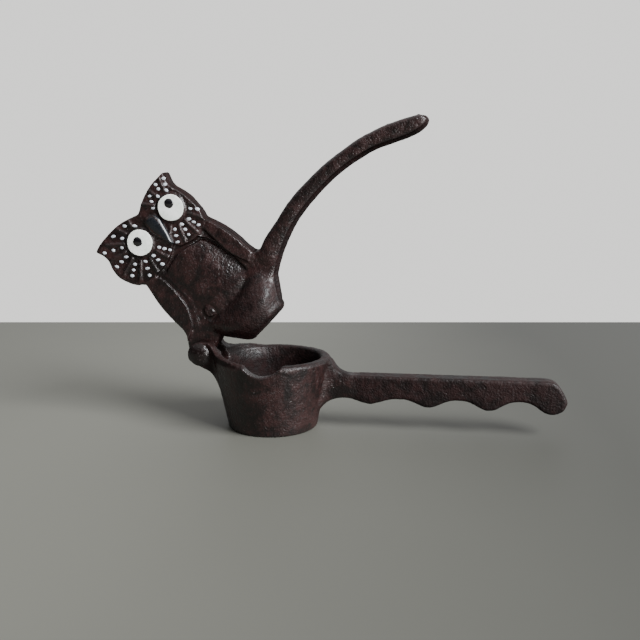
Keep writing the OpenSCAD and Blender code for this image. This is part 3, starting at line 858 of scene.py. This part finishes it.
class PRESS_OT_eyes(bpy.types.Operator):
    """Lay the cream whites on the cast discs, and the two pupils on the whites."""
    bl_idname = "press.eyes"
    bl_label = "Eyes and pupils"

    def execute(self, context):
        look = context.scene.press_enamel
        size = look.eye_radius / MM
        levels = (EYE_DEPTH - WHITE_SUNK, EYE_DEPTH + WHITE_RIM, EYE_DEPTH + WHITE_CROWN)
        whites = enamel_piece("eye_whites", [enamel_drop(LEFT_EYE, size, *levels, wobble=0.035, seed=2.2),
                                             enamel_drop(RIGHT_EYE, size, *levels, wobble=0.035, seed=6.4)])
        dress(whites, brushed_enamel("Cream enamel", look.white, WHITE_SHADES, 0.3, streak=1.6 * MM))
        settle_enamel(whites, "eye_enamel")

        size = look.pupil_radius / MM
        levels = (EYE_DEPTH, EYE_DEPTH + PUPIL_RIM, EYE_DEPTH + PUPIL_CROWN)
        pupils = enamel_piece("pupils", [
            enamel_drop(LEFT_PUPIL, size, *levels, wobble=0.05, seed=3.7, stretch=0.96),
            enamel_drop(RIGHT_PUPIL, size, *levels, wobble=0.05, seed=9.1, stretch=0.92)])
        dress(pupils, brushed_enamel("Black enamel", look.black, BLACK_SHADES, 0.12, coat=1.0))
        settle_enamel(pupils, "pupil_enamel")
        return {"FINISHED"}


BEAK_OUTLINE = [(28.6, 58.4), (30.4, 57.7), (32.1, 56.4), (32.6, 54), (31.9, 50.9), (30.5, 46.4),
                (29.3, 43.2), (28.6, 41.9), (27.8, 43.4), (26.7, 47.6), (25.7, 52.6), (25.9, 56), (26.9, 58)]
BEAK_SPINE = [(29.1, 55.6), (28.9, 50.5), (28.6, 45.5)]
BEAK_RIM, BEAK_HEIGHT = 0.3, 1.85
BEAK_LEVELS = 12
BEAK_SHADES = (1.8, 1.8, 1.8)


def smooth_ring(points, steps):
    """A closed curve through the points, with some steps between each two."""
    p = np.array(points, float)
    ring = []
    for i in range(len(p)):
        a, b, c, d = p[i - 1], p[i], p[(i + 1) % len(p)], p[(i + 2) % len(p)]
        for t in np.arange(steps) / steps:
            ring.append(0.5 * (2 * b + (c - a) * t + (2 * a - 5 * b + 4 * c - d) * t ** 2
                               + (3 * b - a - 3 * c + d) * t ** 3))
    return ring


def nearest_on(line, point):
    """The place on a drawn line that is nearest to a point."""
    spots = []
    for a, b in zip(line[:-1], line[1:]):
        a, b = np.array(a, float), np.array(b, float)
        t = np.clip(np.dot(point - a, b - a) / np.dot(b - a, b - a), 0, 1)
        spots.append(a + (b - a) * t)
    return min(spots, key=lambda spot: np.linalg.norm(point - spot))


class PRESS_OT_beak(bpy.types.Operator):
    """Round the cast beak under its blue-black enamel."""
    bl_idname = "press.beak"
    bl_label = "Beak"

    def execute(self, context):
        look = context.scene.press_enamel
        outline = smooth_ring(BEAK_OUTLINE, 6)
        spine = [nearest_on(BEAK_SPINE, p) for p in outline]
        levels = [(1.03, FACE_DEPTH - 0.6), (1.0, FACE_DEPTH + 0.1)]
        levels += [(math.cos(t), FACE_DEPTH + BEAK_RIM + BEAK_HEIGHT * math.sin(t) ** 0.75)
                   for t in np.linspace(0.12, math.pi / 2 - 0.02, BEAK_LEVELS)]
        verts = [on_lever(s[0] + (p[0] - s[0]) * share, depth, s[1] + (p[1] - s[1]) * share)
                 for share, depth in levels for p, s in zip(outline, spine)]
        n = len(outline)
        faces = [f for i in range(len(levels) - 1) for f in ring_faces(i * n, (i + 1) * n, n)]
        faces += [tuple(range(n)), tuple(range((len(levels) - 1) * n, len(levels) * n))]
        beak = enamel_piece("beak", [(verts, faces)])
        dress(beak, brushed_enamel("Blue-black enamel", look.beak_black, BEAK_SHADES, 0.3, coat=0.35))
        settle_enamel(beak, "beak_enamel")
        return {"FINISHED"}


# Each ray of dabs: angle, distance of the first dab, distance between dabs, count
LEFT_RAYS = [(59, 7.6, 3, 1), (86, 9.9, 3, 1), (121, 8.4, 4.2, 2), (149, 8.8, 4.3, 3), (177, 9.3, 3.2, 3),
             (207, 10.1, 2.7, 3), (238, 8.7, 3.2, 3), (270, 8.5, 2.7, 3), (300, 9.2, 2.5, 3)]
RIGHT_RAYS = [(55, 7.6, 2.6, 3), (76, 9.6, 2.2, 2), (92, 7.4, 3, 1), (105, 10.6, 3, 1), (116, 9, 3, 1),
              (135, 8, 3, 1), (310, 9, 3.2, 2), (282, 9.6, 2.5, 3), (257, 8.7, 2.7, 3), (233, 9.6, 2.8, 3)]
RAYS_OFF_EYE = (-0.3, 0.4)
RAYS_DEPTH = FACE_DEPTH + 2
DAB_SEED = 7
DAB_TURN = math.radians(16)
DAB_SMALLEST, DAB_LARGEST = (0.82, 0.85, 0.8), (1.14, 1.12, 1.1)
DAB_SHADES = (0.62, 0.62, 0.62)


def dab_places():
    """A point in front of the face for each dab."""
    spots = []
    for eye, rays in ((LEFT_EYE, LEFT_RAYS), (RIGHT_EYE, RIGHT_RAYS)):
        middle = (eye[0] + RAYS_OFF_EYE[0], eye[1] + RAYS_OFF_EYE[1])
        for angle, first, pitch, count in rays:
            a = math.radians(angle)
            for reach in (first + i * pitch for i in range(count)):
                x, z = middle[0] + reach * math.cos(a), middle[1] + reach * math.sin(a)
                spots.append(tuple(on_lever(x, RAYS_DEPTH, z)))
    return spots


def of_kind(sockets, kind, name="Value"):
    """The socket of that kind and name, on a node that has one of each kind."""
    return next(s for s in sockets if s.type == kind and s.name == name)


def random_value(w, kind, data_type, low, high, seed):
    """A random value for each point, between low and high."""
    made = w.node("FunctionNodeRandomValue", {"data_type": data_type}, Seed=seed)
    w.feed(of_kind(made.inputs, kind, "Min"), low)
    w.feed(of_kind(made.inputs, kind, "Max"), high)
    return of_kind(made.outputs, kind)


def dab_tree():
    """Lays a drop of enamel where each point meets the casting straight behind it, lying flat on it."""
    tree = bpy.data.node_groups.new("Feather dabs", "GeometryNodeTree")
    socket(tree, "Geometry", "NodeSocketGeometry")
    socket(tree, "Casting", "NodeSocketObject")
    socket(tree, "Length", "NodeSocketFloat", value=1.95 * MM)
    socket(tree, "Width", "NodeSocketFloat", value=1.3 * MM)
    socket(tree, "Height", "NodeSocketFloat", value=0.28 * MM)
    socket(tree, "Seed", "NodeSocketInt", value=DAB_SEED)
    socket(tree, "Enamel", "NodeSocketMaterial")
    socket(tree, "Geometry", "NodeSocketGeometry", "OUTPUT")
    w = Wiring(tree)
    given = w.node("NodeGroupInput").outputs
    casting = w.node("GeometryNodeObjectInfo", Object=given["Casting"]).outputs["Geometry"]
    hit = w.node("GeometryNodeRaycast", {"data_type": "FLOAT_VECTOR"}, Target_Geometry=casting,
                 Ray_Direction=(0, 1, 0), Ray_Length=12 * MM).outputs
    seated = w.node("GeometryNodeSetPosition", Geometry=given["Geometry"], Position=hit["Hit Position"])

    drop = w.node("GeometryNodeMeshIcoSphere", Radius=0.5, Subdivisions=4)
    height = w.times(given["Height"], 2.0)
    shape = w.node("ShaderNodeCombineXYZ", X=given["Length"], Y=given["Width"], Z=height)
    shaped = w.node("GeometryNodeTransform", Geometry=drop.outputs["Mesh"], Scale=shape.outputs[0])

    turn = random_value(w, "VALUE", "FLOAT", -DAB_TURN, DAB_TURN, given["Seed"])
    flat = w.node("FunctionNodeAlignEulerToVector", {"axis": "Z"}, Vector=hit["Hit Normal"])
    tilt = w.node("ShaderNodeCombineXYZ", Z=turn)
    turned = w.node("FunctionNodeRotateEuler", {"space": "LOCAL"}, Rotation=flat.outputs[0],
                    Rotate_By=tilt.outputs[0])
    spread = random_value(w, "VECTOR", "FLOAT_VECTOR", DAB_SMALLEST, DAB_LARGEST, w.plus(given["Seed"], 5.0))

    laid = w.node("GeometryNodeInstanceOnPoints", Points=seated.outputs["Geometry"],
                  Instance=shaped.outputs["Geometry"], Rotation=turned.outputs[0], Scale=spread)
    real = w.node("GeometryNodeRealizeInstances", Geometry=laid.outputs["Instances"])
    smooth = w.node("GeometryNodeSetShadeSmooth", Geometry=real.outputs["Geometry"])
    painted = w.node("GeometryNodeSetMaterial", Geometry=smooth.outputs["Geometry"], Material=given["Enamel"])
    w.node("NodeGroupOutput", Geometry=painted.outputs["Geometry"])
    return tree


def set_input(modifier, name, value):
    """Sets an input of a modifier's tree, by its name in the tree."""
    for item in modifier.node_group.interface.items_tree:
        if item.item_type == "SOCKET" and item.in_out == "INPUT" and item.name == name:
            modifier[item.identifier] = value
            return
    raise ValueError(f"the tree has no input named {name}")


class PRESS_OT_feather_dabs(bpy.types.Operator):
    """Dab the rays of pale enamel round the eyes."""
    bl_idname = "press.feather_dabs"
    bl_label = "Feather dabs"

    def execute(self, context):
        look = context.scene.press_enamel
        mesh = bpy.data.meshes.new("feather_rays")
        mesh.from_pydata(dab_places(), [], [])
        dabs = new_piece("feather_rays", mesh)
        modifier = dabs.modifiers.new("Dabs", "NODES")
        modifier.node_group = dab_tree()
        set_input(modifier, "Casting", bpy.data.objects["lever_casting"])
        set_input(modifier, "Length", look.dab_length)
        set_input(modifier, "Width", look.dab_width)
        set_input(modifier, "Height", look.dab_height)
        set_input(modifier, "Seed", DAB_SEED)
        set_input(modifier, "Enamel",
                  brushed_enamel("Cool white enamel", look.dab_white, DAB_SHADES, 0.32, streak=0.7 * MM))
        flattened(dabs)
        settle_enamel(dabs, "feather_dabs")
        return {"FINISHED"}


# ---------------------------------------------------------------- stage

HALF_FRAME, FOCAL_LENGTH = 320, 650
CAMERA_PLACE = (0.0615, -0.2829, 0.0945)
CAMERA_TURN = math.radians(8)
CAMERA_TILT = math.radians(90 - 9.1)
FLOOR_BACK, FLOOR_REACH = 0.578, 2
LIGHTS_AIM = (0.0, 0.0, 0.06)
RIGHT_GLOW_FROM = (0.78, 0.5, 0.38)


class PRESS_OT_stage(bpy.types.Operator):
    """Lay the floor, hang the lights and place the camera."""
    bl_idname = "press.stage"
    bl_label = "Floor, lights and camera"

    def execute(self, context):
        look = context.scene.press_stage
        self.floor(look)
        self.backdrop(context.scene, look)
        self.light("Low light", (1.05, -0.95, 0.13), (0.8, 0.2), look.low_power, (1, 0.985, 0.965))
        self.light("Right light", (1.22, -0.66, 1.05), (0.9, 1.0), look.side_power, (0.95, 0.975, 1))
        camera = bpy.data.cameras.new("Camera")
        camera.angle = 2 * math.atan(HALF_FRAME / FOCAL_LENGTH)
        eye = bpy.data.objects.new("Camera", camera)
        eye.location = CAMERA_PLACE
        eye.rotation_euler = (CAMERA_TILT, 0, CAMERA_TURN)
        context.scene.collection.objects.link(eye)
        context.scene.camera = eye
        return {"FINISHED"}

    def floor(self, look):
        """A floor square to the camera, with painted shade darkening it towards the right."""
        across = Vector((math.cos(CAMERA_TURN), math.sin(CAMERA_TURN), 0))
        ahead = Vector((-math.sin(CAMERA_TURN), math.cos(CAMERA_TURN), 0))
        middle = Vector((*CAMERA_PLACE[:2], 0))
        left, right, front, back = -FLOOR_REACH, FLOOR_REACH, -FLOOR_REACH, FLOOR_BACK
        corners = [middle + across * u + ahead * v
                   for u, v in ((left, front), (right, front), (right, back), (left, back))]
        mesh = bpy.data.meshes.new("floor")
        mesh.from_pydata(corners, [], [(0, 1, 2, 3)])
        floor = new_piece("floor", mesh)
        material, w, where = blank_material("Pale floor")
        side = w.node("ShaderNodeSeparateXYZ", Vector=where).outputs["X"]
        cloud = w.times(w.speckle(where, 9.0), 0.1)
        # Painted shade: the floor's colour darkens towards the right, with a random cloudy tone on top.
        share = w.plus(w.between(side, -0.12, 0.2), cloud, clamp=True)
        colour = w.mix(share, (*look.floor, 1), (*look.floor_painted_shade, 1))
        finish_shader(w, w.node("ShaderNodeBsdfPrincipled", Base_Color=colour, Roughness=0.6))
        dress(floor, material, smooth=False)

    def backdrop(self, scene, look):
        """A soft glow from the right and from above lights the press. What shows behind it is even."""
        world = bpy.data.worlds.new("Backdrop")
        world.use_nodes = True
        world.node_tree.nodes.clear()
        w = Wiring(world.node_tree)
        towards = w.node("ShaderNodeTexCoord").outputs["Generated"]
        facing = w.node("ShaderNodeVectorMath", {"operation": "DOT_PRODUCT"}, i0=towards, i1=RIGHT_GLOW_FROM)
        share = w.between(facing.outputs["Value"], -0.35, 0.75)
        height = w.node("ShaderNodeSeparateXYZ", Vector=towards).outputs["Z"]
        front = w.mix(w.between(height, 0.3, 0.8), (*look.front_glow, 1), (*look.above, 1))
        lit = w.node("ShaderNodeBackground", Color=w.mix(share, front, (*look.right_glow, 1)))
        seen = w.node("ShaderNodeBackground", Color=(*look.backdrop, 1))
        in_view = w.node("ShaderNodeLightPath").outputs["Is Camera Ray"]
        either = w.node("ShaderNodeMixShader", i0=in_view, i1=lit.outputs[0], i2=seen.outputs[0])
        w.node("ShaderNodeOutputWorld", Surface=either.outputs[0])
        scene.world = world

    def light(self, name, place, size, power, colour):
        lamp = bpy.data.lights.new(name, "AREA")
        lamp.shape = "RECTANGLE"
        lamp.size, lamp.size_y = size
        lamp.energy = power
        lamp.color = colour
        holder = bpy.data.objects.new(name, lamp)
        holder.location = place
        holder.rotation_euler = (Vector(LIGHTS_AIM) - Vector(place)).to_track_quat("-Z", "Y").to_euler()
        bpy.context.scene.collection.objects.link(holder)


# ---------------------------------------------------------------- panel and start

OPERATORS = (PRESS_OT_base_casting, PRESS_OT_lever_casting, PRESS_OT_rivet, PRESS_OT_eyes, PRESS_OT_beak,
             PRESS_OT_feather_dabs, PRESS_OT_stage)
LOOKS = {"press_casting": PressCastingLook, "press_enamel": PressEnamelLook, "press_stage": PressStageLook}


class PRESS_PT_panel(bpy.types.Panel):
    """The press's pieces, sizes and colours."""
    bl_idname = "PRESS_PT_panel"
    bl_label = "Lever nutcracker press"
    bl_space_type = "VIEW_3D"
    bl_region_type = "UI"
    bl_category = "Press"

    def draw(self, context):
        for name, group in LOOKS.items():
            box = self.layout.box()
            for prop in group.__annotations__:
                box.prop(getattr(context.scene, name), prop)
        for operator in OPERATORS:
            self.layout.operator(operator.bl_idname)


def register():
    for cls in (*LOOKS.values(), *OPERATORS, PRESS_PT_panel):
        bpy.utils.register_class(cls)
    for name, group in LOOKS.items():
        setattr(bpy.types.Scene, name, PointerProperty(type=group))


def unregister():
    for name in LOOKS:
        delattr(bpy.types.Scene, name)
    for cls in (PRESS_PT_panel, *reversed(OPERATORS), *LOOKS.values()):
        bpy.utils.unregister_class(cls)


def main():
    register()
    bpy.ops.press.base_casting()
    bpy.ops.press.lever_casting()
    bpy.ops.press.rivet()
    bpy.ops.press.eyes()
    bpy.ops.press.beak()
    bpy.ops.press.feather_dabs()
    bpy.ops.press.stage()


if __name__ == "__main__":
    main()
